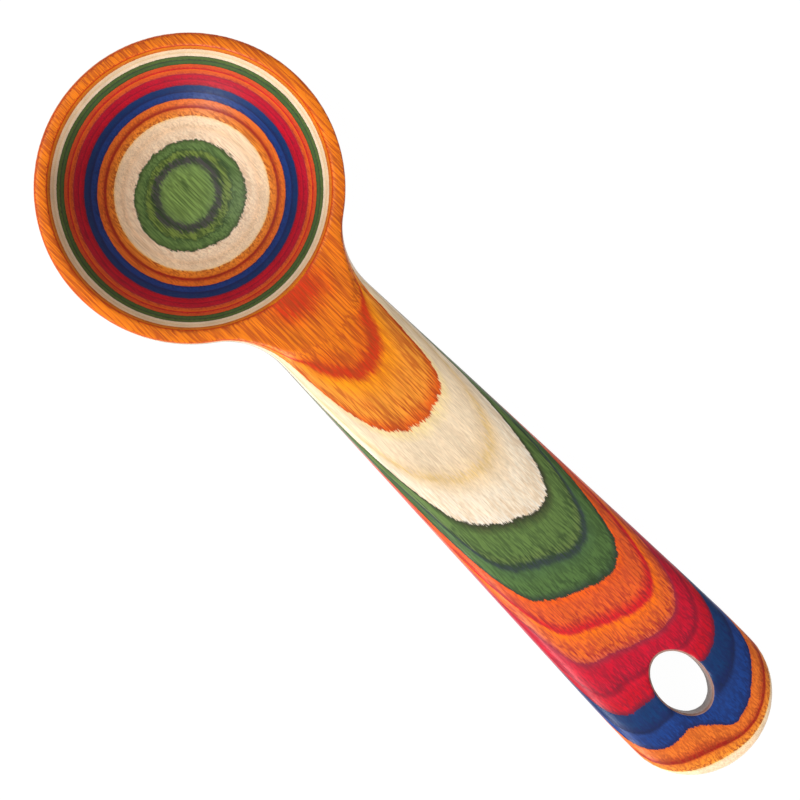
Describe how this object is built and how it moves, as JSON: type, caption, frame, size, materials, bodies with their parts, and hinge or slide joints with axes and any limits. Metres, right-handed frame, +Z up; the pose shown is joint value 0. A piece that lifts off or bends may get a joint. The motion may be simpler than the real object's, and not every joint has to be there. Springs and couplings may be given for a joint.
{
  "type": "measuring spoon",
  "caption": "Laminated wooden measuring spoon with a round hemispherical bowl, a drooping crowned handle and an oval hanging hole.",
  "frame": {"origin": "centre of the flat land under the bowl, on the bowl's axis, on the table", "axes": "+X along the handle to its tip, +Y across the handle, +Z up out of the bowl, square to the veneers"},
  "size_m": [0.1531, 0.0494, 0.0177],
  "materials": {
    "dyed_orange": "satin",
    "natural_birch": "satin",
    "dyed_green": "satin",
    "dyed_coral": "satin",
    "dyed_crimson": "satin",
    "dyed_blue": "satin"
  },
  "bodies": {
    "root": {"ply_01_orange": "dyed_orange", "ply_02_orange": "dyed_orange", "ply_03_natural": "natural_birch", "ply_04_natural": "natural_birch", "ply_05_green": "dyed_green", "ply_06_green": "dyed_green", "ply_07_coral": "dyed_coral", "ply_08_coral": "dyed_coral", "ply_09_crimson": "dyed_crimson", "ply_10_crimson": "dyed_crimson", "ply_11_blue": "dyed_blue", "ply_12_blue_bowl": "dyed_blue", "ply_12_blue_handle": "dyed_blue", "ply_13_orange_bowl": "dyed_orange", "ply_13_orange_handle": "dyed_orange", "ply_14_orange_bowl": "dyed_orange", "ply_14_orange_handle": "dyed_orange", "ply_15_natural_bowl": "natural_birch", "ply_15_natural_handle": "natural_birch", "ply_16_natural_bowl": "natural_birch", "ply_16_natural_handle": "natural_birch", "ply_17_green_bowl": "dyed_green", "ply_17_green_handle": "dyed_green", "ply_18_green_bowl": "dyed_green", "ply_18_green_handle": "dyed_green", "ply_19_coral_bowl": "dyed_coral", "ply_19_coral_handle": "dyed_coral", "ply_20_coral_bowl": "dyed_coral", "ply_20_coral_handle": "dyed_coral"}
  },
  "joints": []
}
